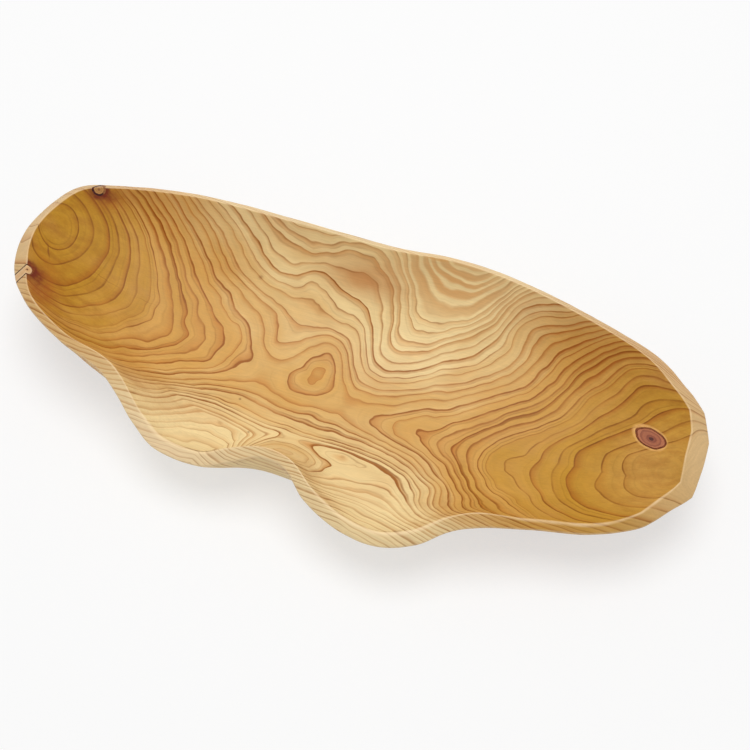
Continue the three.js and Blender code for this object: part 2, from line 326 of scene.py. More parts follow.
def cutPiece(start, operation, name, *branch):
    # a new piece from the start and a branch
    cutter = branchCutter(*branch)
    cut = start.modifiers.new("cut", "BOOLEAN")
    cut.object, cut.operation, cut.solver = cutter, operation, "MANIFOLD"
    made = applied(start, name)
    start.modifiers.remove(cut)
    bpy.data.objects.remove(cutter)
    return made


pieces = {}
shell = blank
for name, knot in knots.items():
    inside = sleeve["clearance"]
    outside = inside + knot["bark"]
    pieces[name + "Stub"] = cutPiece(blank, "INTERSECT", name + "Stub", knot, 0)
    ring = cutPiece(blank, "INTERSECT", "ring", knot, outside)
    pieces[name + "Bark"] = cutPiece(ring, "DIFFERENCE", name + "Bark", knot, inside, inside)
    bpy.data.objects.remove(ring)
    holed = cutPiece(shell, "DIFFERENCE", "carvedBowl", knot, outside + inside, inside)
    if shell is not blank:
        bpy.data.objects.remove(shell)
    shell = holed
shell.name = "carvedBowl"
pieces["carvedBowl"] = shell
bpy.data.objects.remove(blank)
for piece in pieces.values():
    softShade(piece)
print("pieces cut:", {name: len(piece.data.polygons) for name, piece in pieces.items()})

standsFor = {"carvedBowl": ("bowl_body", "bowl_wood")}
for name in knots:
    standsFor[name + "Stub"] = (name + "_knot", "knot_wood")
    standsFor[name + "Bark"] = (name + "_knot_bark", "knot_bark")
for name, (node, slot) in standsFor.items():
    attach(pieces[name], "root")
    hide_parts(node)


def newFinish(name):
    material = bpy.data.materials.new(name)
    material.use_nodes = True
    return material.node_tree, material, material.node_tree.nodes["Principled BSDF"]


def plug(tree, value, socket):
    # link a node's output, or set a constant
    if isinstance(value, bpy.types.NodeSocket):
        tree.links.new(value, socket)
    else:
        socket.default_value = value


def calc(tree, operation, *values):
    node = tree.nodes.new("ShaderNodeMath")
    node.operation = operation
    for value, socket in zip(values, node.inputs):
        plug(tree, value, socket)
    return node.outputs[0]


def vecCalc(tree, operation, *values):
    node = tree.nodes.new("ShaderNodeVectorMath")
    node.operation = operation
    for value, socket in zip(values, node.inputs):
        plug(tree, value, socket)
    return node.outputs["Value" if operation in ("DOT_PRODUCT", "LENGTH") else "Vector"]


def times(tree, *values):
    total = values[0]
    for value in values[1:]:
        total = calc(tree, "MULTIPLY", total, value)
    return total


def ramp(tree, value, gain, base):
    return calc(tree, "MULTIPLY_ADD", value, gain, base)


def scaled(tree, vector, factor):
    node = tree.nodes.new("ShaderNodeVectorMath")
    node.operation = "SCALE"
    plug(tree, vector, node.inputs["Vector"])
    plug(tree, factor, node.inputs["Scale"])
    return node.outputs["Vector"]


def mapped(tree, vector, location, rotation):
    # the vector seen from a place that is moved and turned
    node = tree.nodes.new("ShaderNodeMapping")
    node.vector_type = "TEXTURE"
    plug(tree, vector, node.inputs["Vector"])
    node.inputs["Location"].default_value = location
    node.inputs["Rotation"].default_value = rotation
    return node.outputs["Vector"]


def stretched(tree, vector, x, y, z):
    return vecCalc(tree, "MULTIPLY", vector, (1 / x, 1 / y, 1 / z))


def speckle(tree, vector, size, detail=2.0, rough=0.5, colour=False):
    # noise whose swells are about size across
    node = tree.nodes.new("ShaderNodeTexNoise")
    plug(tree, vector, node.inputs["Vector"])
    node.inputs["Scale"].default_value = 1 / size
    node.inputs["Detail"].default_value = detail
    node.inputs["Roughness"].default_value = rough
    return node.outputs["Color" if colour else "Fac"]


def lineNoise(tree, value, size, detail=1.0):
    # noise that changes with one value only
    node = tree.nodes.new("ShaderNodeTexNoise")
    node.noise_dimensions = "1D"
    plug(tree, value, node.inputs["W"])
    node.inputs["Scale"].default_value = 1 / size
    node.inputs["Detail"].default_value = detail
    return node.outputs["Fac"]


def between(tree, value, low, high):
    # 0 below low, 1 above high
    node = tree.nodes.new("ShaderNodeMapRange")
    node.interpolation_type = "SMOOTHSTEP"
    plug(tree, value, node.inputs["Value"])
    plug(tree, low, node.inputs["From Min"])
    plug(tree, high, node.inputs["From Max"])
    return node.outputs["Result"]


def blendColour(tree, share, first, second, kind="MIX"):
    node = tree.nodes.new("ShaderNodeMix")
    node.data_type, node.blend_type = "RGBA", kind
    plug(tree, share, node.inputs["Factor"])
    plug(tree, first, node.inputs[6])  # the colour sockets of the three kinds of mix
    plug(tree, second, node.inputs[7])
    return node.outputs[2]


def deepened(tree, share, colour, tone):
    # the colour darkened by a tone
    return blendColour(tree, share, colour, blendColour(tree, 1.0, colour, tone, "MULTIPLY"))


def millimetres(tree):
    place = tree.nodes.new("ShaderNodeTexCoord").outputs["Object"]
    return scaled(tree, place, 1 / mm)


def coat(tree, shader, look, colour, rough, height):
    # colour, gloss and fine relief of one finish
    plug(tree, colour, shader.inputs["Base Color"])
    plug(tree, rough, shader.inputs["Roughness"])
    shader.inputs["Specular IOR Level"].default_value = look["specular"]
    bump = tree.nodes.new("ShaderNodeBump")
    bump.inputs["Strength"].default_value = look["relief"]
    bump.inputs["Distance"].default_value = look["reliefDepth"]
    plug(tree, height, bump.inputs["Height"])
    plug(tree, bump.outputs[0], shader.inputs["Normal"])


# growth rings: distance from a pith that runs lengthwise and leaves the wood at both end walls,
# with swells where the trunk was not round: along, across, half length, half width, turn, height
rings = {
    "pithLeft": (-214.2, 40.2, 59.4), "pithRight": (210.7, -9.4, 48.0), "pithBow": (-18.5, 23.2),
    "swells": [
        (-21, 83, 93, 21.1, 48, -6.2), (-5, 48, 110, 30.2, -17, 6.1), (102, 79, 22, 20, 138, -8.8),
        (-235, 49, 99, 22.7, -9, 12.0), (13, -41, 49, 9, -3, 10.2), (43, -30, 47, 11.1, -5, 7.7),
        (45, -65, 76, 9, -16, 3.2), (67, -53, 39, 13.4, -1, 11.8),
        (138, 60, 43, 20, -42, -8.9), (197, -2, 46, 32.4, -110, 9.4), (-235, 40, 75, 21.3, -27, 13.8),
        (225, -11, 31, 30, -13, 13.5), (-72, -32, 59, 21.6, 18, 8.8), (22, -86, 88, 23.4, -4, 13.1),
        (235, 18, 30, 21.8, 19, -5.3), (170, 67, 112, 20, 144, -10.3), (178, 63, 33, 20.4, 134, -6.4),
        (26, 30, 75, 22.3, 56, 4.2), (104, -24, 54, 20, 75, -3.5), (-22, 39, 44, 21.1, -61, -6.5),
        (-3, 60, 74, 20, 67, -7.0), (-54, 28, 88, 20, 46, 3.5), (-21, 19, 45, 28, 0, 4.0),
    ],
    # one sharp fold in the near left lobe: its tip, turn, slopes, height and the area it fades over
    "fold": {"tip": (-24, -36, 0), "turn": 25, "along": 0.4, "across": 0.55, "soft": 2, "top": 10,
             "at": ((-58, -50, 0), (60, 40))},
    # rings a millimetre near the pith and further out, the ringless core, and how the rings wander
    "innerRate": 0.26, "outerRate": 0.4, "outerFrom": 46, "start": -1.0, "clearTo": 29.4,
    "uneven": 1.0, "unevenSize": 7,
    "waver": 1.6, "waverSize": 20, "jitter": 0.3, "jitterSize": 8,
    "calmTo": 32, "wavyFrom": 62, "wavyGain": 0.65, "calmShare": 0.35,
}


def ringHeight(point):
    # the same field as the finish reads, for marking how the rings meet the surface
    left, right = rings["pithLeft"], rings["pithRight"]
    share = (point.x - left[0]) / (right[0] - left[0])
    bow = 4 * share * (1 - share)
    pith = [left[k] + (right[k] - left[k]) * share + rings["pithBow"][k - 1] * bow for k in (1, 2)]
    height = math.hypot(point.y - pith[0], point.z - pith[1])
    for x0, y0, halfLength, halfWidth, turn, lift in rings["swells"]:
        c, s = math.cos(math.radians(turn)), math.sin(math.radians(turn))
        x, y = point.x - x0, point.y - y0
        ahead, aside = (x * c + y * s) / halfLength, (y * c - x * s) / halfWidth
        height += lift * math.exp(-ahead ** 2 - aside ** 2)
    fold = rings["fold"]
    c, s = math.cos(math.radians(fold["turn"])), math.sin(math.radians(fold["turn"]))
    x, y = point.x - fold["tip"][0], point.y - fold["tip"][1]
    aside = math.sqrt((y * c - x * s) ** 2 + fold["soft"])
    slope = -fold["along"] * (x * c + y * s) - fold["across"] * aside
    centre, sizes = fold["at"]
    fade = math.exp(-((point.x - centre[0]) / sizes[0]) ** 2 - ((point.y - centre[1]) / sizes[1]) ** 2)
    return height + min(max(slope, 0), fold["top"]) * fade


def ringSlant(point, normal):
    # 1 where the rings cross the surface squarely, 0 where they lie flat in it
    side = normal.orthogonal().normalized()
    here = ringHeight(point)
    return math.hypot(ringHeight(point + side) - here, ringHeight(point + normal.cross(side)) - here)


def markPiece(piece):
    # bevel, arris, slant of the rings and share of end grain at each vertex
    verts = piece.data.vertices
    rows = [rowMarks[rowOf[guide.find(vert.co)[1]]] for vert in verts]
    marks = {
        "bevel": [bevel for bevel, arris in rows],
        "arris": [arris for bevel, arris in rows],
        "slant": [ringSlant(vert.co / mm, vert.normal) for vert in verts],
        "ends": [abs(vert.normal.x) for vert in verts],
    }
    for name, values in marks.items():
        piece.data.attributes.new(name, "FLOAT", "POINT").data.foreach_set("value", values)


markPiece(pieces["carvedBowl"])
print("rings marked on the surface")


def ringDistance(tree, place):
    split = tree.nodes.new("ShaderNodeSeparateXYZ")
    plug(tree, place, split.inputs[0])
    x, y, z = split.outputs
    left, right = rings["pithLeft"], rings["pithRight"]
    share = calc(tree, "DIVIDE", calc(tree, "SUBTRACT", x, left[0]), right[0] - left[0])
    bow = times(tree, share, 4.0, opposite(tree, share))
    sides = []
    for axis, value in ((1, y), (2, z)):
        line = ramp(tree, share, right[axis] - left[axis], left[axis])
        line = ramp(tree, bow, rings["pithBow"][axis - 1], line)
        away = calc(tree, "ABSOLUTE", calc(tree, "SUBTRACT", value, line))
        sides.append(calc(tree, "POWER", away, 2.0))
    distance = calc(tree, "SQRT", calc(tree, "ADD", *sides))
    for x0, y0, halfLength, halfWidth, turn, height in rings["swells"]:
        swell = spot(tree, place, (x0, y0, 0), (halfLength, halfWidth), turn)
        distance = ramp(tree, swell, height, distance)
    fold = rings["fold"]
    ahead, aside = turnedAxes(fold["turn"])[:2]
    side = along(tree, place, fold["tip"], aside)
    side = calc(tree, "SQRT", ramp(tree, side, side, fold["soft"]))
    back = times(tree, along(tree, place, fold["tip"], ahead), -fold["along"])
    slope = ramp(tree, side, -fold["across"], back)
    slope = calc(tree, "MINIMUM", calc(tree, "MAXIMUM", slope, 0.0), fold["top"])
    return ramp(tree, slope, spot(tree, place, *fold["at"]), distance)


def along(tree, place, centre, axis):
    # how far the place lies from the centre along one axis
    return calc(tree, "SUBTRACT", vecCalc(tree, "DOT_PRODUCT", place, axis), axis.dot(Vector(centre)))


def turnedAxes(turn):
    c, s = math.cos(math.radians(turn)), math.sin(math.radians(turn))
    return Vector((c, s, 0)), Vector((-s, c, 0)), Vector((0, 0, 1))


def spot(tree, place, centre, sizes, turn=0):
    # a soft spot: 1 in its middle, fading out over its sizes; a column where it has only two
    total = 0.0
    for axis, size in zip(turnedAxes(turn), sizes):
        away = along(tree, place, centre, axis / size)
        total = ramp(tree, away, away, total)
    return calc(tree, "EXPONENT", times(tree, total, -1.0))


def broadest(tree, place, spots):
    # the strongest of several soft spots
    most = 0.0
    for part in spots:
        most = calc(tree, "MAXIMUM", spot(tree, place, *part), most)
    return most


def ringCount(tree, place, distance):
    waver = calc(tree, "SUBTRACT", speckle(tree, place, rings["waverSize"], 1.0), 0.5)
    jitter = calc(tree, "SUBTRACT", speckle(tree, place, rings["jitterSize"], 1.0), 0.5)
    rough = ramp(tree, between(tree, distance, rings["calmTo"], rings["wavyFrom"]),
                 rings["wavyGain"], rings["calmShare"])
    bend = ramp(tree, waver, rings["waver"] * 2, times(tree, jitter, rings["jitter"] * 2))
    wavy = ramp(tree, bend, rough, distance)
    outer = calc(tree, "MAXIMUM", calc(tree, "SUBTRACT", wavy, rings["outerFrom"]), 0.0)
    count = ramp(tree, wavy, rings["innerRate"], rings["start"])
    count = ramp(tree, outer, rings["outerRate"] - rings["innerRate"], count)
    uneven = calc(tree, "SUBTRACT", lineNoise(tree, wavy, rings["unevenSize"]), 0.5)
    return ramp(tree, uneven, rings["uneven"], count)


def marked(tree, name):
    node = tree.nodes.new("ShaderNodeAttribute")
    node.attribute_name = name
    return node.outputs["Fac"]


def opposite(tree, value):
    return calc(tree, "SUBTRACT", 1.0, value)


def axisDistance(tree, place, knot):
    offset = vecCalc(tree, "SUBTRACT", place, knot["point"])
    heading = Vector(knot["heading"]).normalized()
    return vecCalc(tree, "LENGTH", vecCalc(tree, "CROSS_PRODUCT", offset, heading))


# the bowl's finish: colours, then places as centre, half sizes, turn and, in some lists, amount
bowlLook = {
    "heart": tint(190, 139, 38), "middle": tint(213, 162, 84), "sap": tint(242, 216, 159),
    "pale": tint(248, 219, 174), "gold": tint(178, 124, 44), "rosy": tint(203, 147, 88),
    "cream": tint(245, 220, 165), "blunt": tint(206, 156, 80), "endTone": tint(196, 156, 104),
    "band": tint(214, 156, 84), "late": tint(142, 76, 10), "lateHeart": tint(124, 72, 4),
    "stain": tint(108, 34, 16), "halo": tint(164, 86, 26), "rim": tint(230, 176, 104),
    "crack": tint(120, 62, 22),
    "rosyAt": ((-10, 78, 35), (26, 11, 10), -6),
    "scallopAt": ((50, 88, 43), (44, 22, 22), -8),
    "goldAt": ((150, 70, 46), (48, 30, 30), -25),
    "bluntAt": ((202, -8, 44), (38, 36, 40)),
    # a bevel left without its pale colour: painted shade
    "shadedBevelAt": ((150, -62, 40), (64, 22, 24), 18),
    "calmAt": ((-140, 10, 35), (50, 60, 60)),
    "bandsAt": [((-156, 76, 47), (24, 22, 18), 10), ((152, 62, 44), (44, 24, 24), -25)],
    # cream on the lobes and by the saddle: pale sapwood, partly painted light on the lobes
    "creamAt": [((-84, -64, 36), (44, 23, 24), 6), ((45, -72, 28), (36, 16, 17), -3),
                ((-45, -64, 36), (26, 12, 14), 0), ((-14, -58, 34), (22, 10, 14), 0)],
    "denseAt": [((15, -35, 13), (75, 13, 30), -24), ((-99, -28, 22), (42, 12, 24), 12)],
    # bevels made paler still: painted light, with amount
    "paleLitBevelAt": [((226, 10, 50), (26, 40, 30), 0, 0.15), ((-92, -78, 36), (50, 24, 24), 0, 0.6),
               ((-216, 32, 60), (20, 50, 20), 0, 0.2)],
    "stains": [((-205, 1, 57.5), (5, 8, 5), 20, 0.75), ((-190, 76.5, 57.5), (8, 4, 5), 15, 0.7)],
    "halos": [((-201, -4, 56), (13, 20, 12), 20, 0.75), ((-187, 76, 57), (14, 8, 9), 15, 0.6)],
    # what soaked into the wood round a knot: width, colour, amount
    "collars": {"end": (5.5, "stain", 0.85), "back": (4.2, "stain", 0.8), "floor": (1.7, "rim", 0.8)},
    "pins": [((-77.6, 65.1, 26.7), 1.5, 0.5), ((-61.5, -20.8, 12.8), 0.7, 0.8),
             ((-46.7, -43.6, 16.5), 0.7, 0.7)],
    "cracks": [((-208.9, 24.8, 55.2), (5.2, 0.45, 5), -58, 0.8),
               ((-173.6, 27, 34.5), (10, 0.25, 20), -8, 0.45),
               ((-146.3, 25, 24.6), (6, 0.22, 20), 0, 0.4)],
    # how much of a colour is laid on
    "amount": {"gold": 0.5, "blunt": 0.7, "dense": 0.12, "streak": 0.25, "rosy": 0.8, "cream": 0.53},
    "mostRosy": 0.9, "mostStain": 0.92, "bevelPale": 0.33, "collarFrom": 0.3, "crackWobble": 2.0,
    # ring distances, and other spans that a share rises over
    "toMiddle": (38, 66), "toSap": (62, 92), "toLate": (36, 70), "reachStart": 11,
    "streakSpan": (0.5, 0.75), "soakSpan": (0.35, 0.68), "endSpan": (0.15, 0.6),
    "raggedSpan": (0.35, 0.65),
    # gain and base
    "soak": (-0.4, 0.4), "ragged": (0.35, 0.75), "grain": (0.3, 0.85), "fibre": (0.2, 0.9),
    "wornAndHighlight": (0.7, 0.15), "rough": (0.16, 0.32), "fibreRough": 0.16,
    # sizes of the noises, how far two of them shift the colours, and how some are stretched
    "mottleSize": 48, "mottleReach": 22, "yearsSize": 7, "yearsReach": 24, "streakSize": 26,
    "soakSize": 6, "raggedSize": 3.5, "wobbleSize": 4, "fibreSize": 0.9, "grainSize": 18, "wornAndHighlightSize": 7,
    "streakStretch": (2.2, 1, 1), "soakStretch": (2, 1, 4), "fibreStretch": (30, 1, 1), "grainRate": 60,
    "specular": 0.2, "relief": 0.14, "reliefDepth": 0.0002, "lineRelief": 0.6,
}

# late-wood lines and the shading that leads up to them
lineLook = {
    # gain and base
    "width": (1.1, 1.25), "denseWidth": (0.4, 1.0), "closing": (-0.3, 1.0), "full": (-0.35, 1.0),
    "weight": (0.75, 0.32), "fade": (0.65, 0.5), "patchy": (0.4, 0.7), "scallop": (-0.85, 1.0),
    "cream": (-0.8, 1.0), "dense": (0.9, 1.0), "calm": (-0.3, 1.0), "bevel": (-0.35, 1.0),
    "faintAt": (0.3, 0.3), "shadeFrom": (-0.45, 0.6), "shadeBands": (0.55, 0.14),
    "shadeCream": (-0.55, 1.0),
    # spans that a share rises over
    "fadeSpan": (0.32, 0.64), "patchSpan": (0.3, 0.62), "wideRise": (0.15, 0.45), "wideFall": (0.8, 1.0),
    "fadeSize": 36, "patchSize": 9, "rateSpan": 8, "clearSpan": 3,
    "thinnest": 0.03, "thickest": 0.5, "weightPower": 1.3, "darkest": 0.78,
    "faintWidth": 0.5, "faintYear": 0.6, "faintDense": 0.4,
    "shadeYear": 0.6, "shadeDense": 0.15, "wideShare": 0.62,
}


def readWood(tree):
    # what the stages of the bowl's finish share
    place = millimetres(tree)
    wood = SimpleNamespace(place=place)
    wood.bevel, wood.arris, wood.slant, wood.ends = (
        marked(tree, name) for name in ("bevel", "arris", "slant", "ends"))
    wood.distance = ringDistance(tree, place)
    wood.count = ringCount(tree, place, wood.distance)
    wood.ringShare = calc(tree, "FRACT", wood.count)
    chance = tree.nodes.new("ShaderNodeTexWhiteNoise")
    chance.noise_dimensions = "1D"
    plug(tree, calc(tree, "FLOOR", wood.count), chance.inputs["W"])
    split = tree.nodes.new("ShaderNodeSeparateColor")
    plug(tree, chance.outputs["Color"], split.inputs[0])
    wood.weight, wood.width, wood.depth = split.outputs
    wood.scallop = spot(tree, place, *bowlLook["scallopAt"])
    wood.mottle = speckle(tree, place, bowlLook["mottleSize"])
    wood.dense = broadest(tree, place, bowlLook["denseAt"])
    wood.clear = between(tree, wood.distance, rings["clearTo"] - lineLook["clearSpan"], rings["clearTo"])
    wood.cream = calc(tree, "MAXIMUM", broadest(tree, place, bowlLook["creamAt"]), wood.scallop)
    return wood


def yearLines(tree, wood):
    # a thin dark line where each year's growth stops, about as wide everywhere on the surface
    turnover, span = rings["outerFrom"], lineLook["rateSpan"]
    rate = ramp(tree, between(tree, wood.distance, turnover - span, turnover + span),
                rings["outerRate"] - rings["innerRate"], rings["innerRate"])
    thick = times(tree, wood.slant, rate, ramp(tree, wood.width, *lineLook["width"]))
    thick = times(tree, thick, ramp(tree, wood.dense, *lineLook["denseWidth"]))
    thick = calc(tree, "MAXIMUM", thick, lineLook["thinnest"])
    thick = calc(tree, "MINIMUM", thick, lineLook["thickest"])
    closing = opposite(tree, between(tree, wood.ringShare, ramp(tree, thick, *lineLook["closing"]), 1.0))
    rise = between(tree, wood.ringShare, opposite(tree, thick), ramp(tree, thick, *lineLook["full"]))
    fade = between(tree, speckle(tree, wood.place, lineLook["fadeSize"]), *lineLook["fadeSpan"])
    patchy = between(tree, speckle(tree, wood.place, lineLook["patchSize"]), *lineLook["patchSpan"])
    calm = spot(tree, wood.place, *bowlLook["calmAt"])
    weight = calc(tree, "POWER", wood.weight, lineLook["weightPower"])
    strength = ramp(tree, weight, *lineLook["weight"])
    for key, value in (("fade", fade), ("patchy", patchy), ("scallop", wood.scallop),
                       ("cream", wood.cream), ("dense", wood.dense), ("calm", calm)):
        strength = times(tree, strength, ramp(tree, value, *lineLook[key]))
    strength = times(tree, strength, wood.clear)
    line = times(tree, rise, closing, strength)
    faint = calc(tree, "SUBTRACT", wood.ringShare, ramp(tree, wood.depth, *lineLook["faintAt"]))
    faint = calc(tree, "ABSOLUTE", faint)
    faint = opposite(tree, between(tree, faint, 0.0, times(tree, thick, lineLook["faintWidth"])))
    share = ramp(tree, wood.dense, lineLook["faintDense"], times(tree, wood.width, lineLook["faintYear"]))
    faint = times(tree, faint, strength, share)
    line = calc(tree, "MINIMUM", calc(tree, "MAXIMUM", line, faint), lineLook["darkest"])
    return line, closing


def yearShade(tree, wood, closing):
    # broad shading before each line, or a wide soft band in the scallop
    start = ramp(tree, wood.width, *lineLook["shadeFrom"])
    shade = times(tree, between(tree, wood.ringShare, start, 1.0), closing)
    broad = broadest(tree, wood.place, bowlLook["bandsAt"])
    deep = ramp(tree, wood.depth, lineLook["shadeYear"], ramp(tree, broad, *lineLook["shadeBands"]))
    deep = ramp(tree, wood.dense, lineLook["shadeDense"], deep)
    deep = times(tree, deep, ramp(tree, wood.cream, *lineLook["shadeCream"]))
    shade = times(tree, shade, deep, wood.clear)
    wide = opposite(tree, between(tree, wood.ringShare, *lineLook["wideFall"]))
    wide = times(tree, between(tree, wood.ringShare, *lineLook["wideRise"]), wide)
    wide = calc(tree, "SUBTRACT", times(tree, wide, lineLook["wideShare"]), shade)
    return ramp(tree, wide, wood.scallop, shade)


def groundColour(tree, wood):
    # yellow heart round the pith, tan, then cream towards the bark, in groups of years
    place, amount = wood.place, bowlLook["amount"]
    years = lineNoise(tree, wood.distance, bowlLook["yearsSize"], 2.0)
    reach = calc(tree, "SUBTRACT", wood.distance, bowlLook["reachStart"])
    reach = ramp(tree, wood.mottle, bowlLook["mottleReach"], reach)
    groups = times(tree, calc(tree, "SUBTRACT", years, 0.5), wood.clear)
    reach = ramp(tree, groups, bowlLook["yearsReach"], reach)
    share = between(tree, reach, *bowlLook["toMiddle"])
    colour = blendColour(tree, share, bowlLook["heart"], bowlLook["middle"])
    colour = blendColour(tree, between(tree, reach, *bowlLook["toSap"]), colour, bowlLook["sap"])
    for key in ("gold", "blunt"):
        share = times(tree, spot(tree, place, *bowlLook[key + "At"]), amount[key])
        colour = blendColour(tree, share, colour, bowlLook[key])
    colour = blendColour(tree, times(tree, wood.dense, amount["dense"]), colour, bowlLook["middle"])
    streak = speckle(tree, stretched(tree, place, *bowlLook["streakStretch"]), bowlLook["streakSize"])
    streak = times(tree, between(tree, streak, *bowlLook["streakSpan"]), amount["streak"])
    rosy = ramp(tree, spot(tree, place, *bowlLook["rosyAt"]), amount["rosy"], streak)
    rosy = calc(tree, "MINIMUM", rosy, bowlLook["mostRosy"])
    colour = blendColour(tree, rosy, colour, bowlLook["rosy"])
    # cream laid on: pale sapwood, partly painted light on the lobes
    colour = blendColour(tree, times(tree, wood.cream, amount["cream"]), colour, bowlLook["cream"])
    # the bevel blended to pale: sanded end grain, and painted light where it faces up; painted shade
    # where it is left dark
    paleAndLit = bowlLook["bevelPale"]
    edge = ramp(tree, spot(tree, place, *bowlLook["shadedBevelAt"]), -paleAndLit, paleAndLit)
    for centre, sizes, turn, share in bowlLook["paleLitBevelAt"]:
        edge = ramp(tree, spot(tree, place, centre, sizes, turn), share, edge)
    return blendColour(tree, times(tree, wood.bevel, edge), colour, bowlLook["pale"]), reach


def soakedColour(tree, wood, colour):
    # end grain drinks more oil, in streaks down the wall
    place = wood.place
    inside = opposite(tree, wood.bevel)
    streaky = stretched(tree, place, *bowlLook["soakStretch"])
    streaky = speckle(tree, streaky, bowlLook["soakSize"], 3.0, 0.6)
    streaky = between(tree, streaky, *bowlLook["soakSpan"])
    soaked = times(tree, between(tree, wood.ends, *bowlLook["endSpan"]), inside, streaky)
    soaked = times(tree, soaked, ramp(tree, wood.cream, *bowlLook["soak"]))
    colour = deepened(tree, soaked, colour, bowlLook["endTone"])

    # stains that the dead branches left, and a pale rim round one of them
    ragged = between(tree, speckle(tree, place, bowlLook["raggedSize"], 3.0), *bowlLook["raggedSpan"])
    ragged = ramp(tree, ragged, *bowlLook["ragged"])
    for key, marks in (("halo", "halos"), ("stain", "stains")):
        for centre, sizes, turn, amount in bowlLook[marks]:
            share = times(tree, spot(tree, place, centre, sizes, turn), ragged, amount, inside)
            share = calc(tree, "MINIMUM", share, bowlLook["mostStain"])
            colour = blendColour(tree, share, colour, bowlLook[key])
    for name, (width, key, amount) in bowlLook["collars"].items():
        knot = knots[name]
        bark = knot["radius"] + knot["bark"]
        away = axisDistance(tree, place, knot)
        collar = opposite(tree, between(tree, away, bark + width * bowlLook["collarFrom"], bark + width))
        share = times(tree, collar, ragged, inside, amount)
        colour = blendColour(tree, share, colour, bowlLook[key])
    return colour


def crackShare(tree, place):
    # pin knots and drying cracks
    wobble = speckle(tree, place, bowlLook["wobbleSize"], 1.0, colour=True)
    wobble = vecCalc(tree, "SUBTRACT", wobble, (0.5, 0.5, 0.5))
    bent = vecCalc(tree, "ADD", place, scaled(tree, wobble, bowlLook["crackWobble"]))
    crack = 0.0
    for centre, size, amount in bowlLook["pins"]:
        crack = ramp(tree, spot(tree, place, centre, (size, size, size)), amount, crack)
    for centre, sizes, turn, amount in bowlLook["cracks"]:
        crack = ramp(tree, spot(tree, bent, centre, sizes, turn), amount, crack)
    return crack


def bowlWood():
    tree, material, shader = newFinish("oiledRootWood")
    wood = readWood(tree)
    place = wood.place
    line, closing = yearLines(tree, wood)
    shade = yearShade(tree, wood, closing)
    colour, reach = groundColour(tree, wood)
    colour = deepened(tree, shade, colour, bowlLook["band"])
    share = between(tree, reach, *bowlLook["toLate"])
    late = blendColour(tree, share, bowlLook["lateHeart"], bowlLook["late"])
    drawn = times(tree, line, ramp(tree, wood.bevel, *lineLook["bevel"]))
    colour = blendColour(tree, drawn, colour, late)
    colour = soakedColour(tree, wood, colour)
    crack = crackShare(tree, place)
    colour = blendColour(tree, crack, colour, bowlLook["crack"])

    # fibres, streaks within the rings, edges rubbed pale and given a painted highlight, satin oil
    fibre = speckle(tree, stretched(tree, place, *bowlLook["fibreStretch"]), bowlLook["fibreSize"])
    flow = tree.nodes.new("ShaderNodeCombineXYZ")
    plug(tree, times(tree, wood.count, bowlLook["grainRate"]), flow.inputs[0])
    plug(tree, vecCalc(tree, "DOT_PRODUCT", place, (1, 0, 0)), flow.inputs[1])
    plug(tree, vecCalc(tree, "DOT_PRODUCT", place, (0, 1, 0)), flow.inputs[2])
    grain = speckle(tree, flow.outputs[0], bowlLook["grainSize"], 3.0, 0.6)
    fine = times(tree, ramp(tree, grain, *bowlLook["grain"]), ramp(tree, fibre, *bowlLook["fibre"]))
    colour = blendColour(tree, 1.0, colour, fine, "MULTIPLY")
    # the arris blended to pale: rubbed wear and a painted highlight along the crest
    wornAndHighlight = ramp(tree, speckle(tree, place, bowlLook["wornAndHighlightSize"]), *bowlLook["wornAndHighlight"])
    colour = blendColour(tree, times(tree, wood.arris, wornAndHighlight), colour, bowlLook["pale"])
    rough = ramp(tree, fibre, bowlLook["fibreRough"], ramp(tree, wood.mottle, *bowlLook["rough"]))
    sunk = calc(tree, "ADD", times(tree, line, bowlLook["lineRelief"]), crack)
    coat(tree, shader, bowlLook, colour, rough, calc(tree, "SUBTRACT", fibre, sunk))
    return material


stubLook = {
    "wobbleSize": 2.2, "wobble": (0.9, -0.45), "ringRise": (0.35, 0.85), "ringFall": (0.88, 1.0),
    "ringAmount": 0.6, "heartFrom": 0.5, "heartAmount": 0.9, "fibreSize": 0.8, "fibre": (0.4, 0.8),
    "rough": (0.2, 0.38), "specular": 0.3, "relief": 0.2, "reliefDepth": 0.0002,
}


def stubWood(name):
    # rings round the branch's own pith
    knot = knots[name]
    tree, material, shader = newFinish(name + "StubWood")
    place = millimetres(tree)
    turn = Vector((0, 0, 1)).rotation_difference(Vector(knot["heading"])).to_euler()
    local = mapped(tree, place, knot["point"], turn)
    flat = vecCalc(tree, "MULTIPLY", local, (1, 1, 0))
    wobble = ramp(tree, speckle(tree, place, stubLook["wobbleSize"]), *stubLook["wobble"])
    reach = calc(tree, "ADD", vecCalc(tree, "LENGTH", flat), wobble)
    ring = calc(tree, "FRACT", times(tree, reach, knot["ringRate"]))
    ring = times(tree, between(tree, ring, *stubLook["ringRise"]),
                 opposite(tree, between(tree, ring, *stubLook["ringFall"])))
    colour = blendColour(tree, between(tree, reach, 0.0, knot["radius"]), knot["inner"], knot["wood"])
    colour = blendColour(tree, times(tree, ring, stubLook["ringAmount"]), colour, knot["ring"])
    size = knot["heartSize"]
    heart = opposite(tree, between(tree, reach, size * stubLook["heartFrom"], size))
    colour = blendColour(tree, times(tree, heart, stubLook["heartAmount"]), colour, knot["heart"])
    fibre = speckle(tree, place, stubLook["fibreSize"], 3.0)
    colour = blendColour(tree, 1.0, colour, ramp(tree, fibre, *stubLook["fibre"]), "MULTIPLY")
    rough = ramp(tree, fibre, *stubLook["rough"])
    coat(tree, shader, stubLook, colour, rough, calc(tree, "SUBTRACT", fibre, ring))
    return material


barkLook = {
    "flakeSize": 1.6, "flakeSpan": (0.3, 0.7), "fadeRagged": 2, "fadeSpan": (0.35, 1.2),
    "fadeAmount": 0.85, "rough": (0.3, 0.6), "specular": 0.2, "relief": 0.6, "reliefDepth": 0.0004,
}


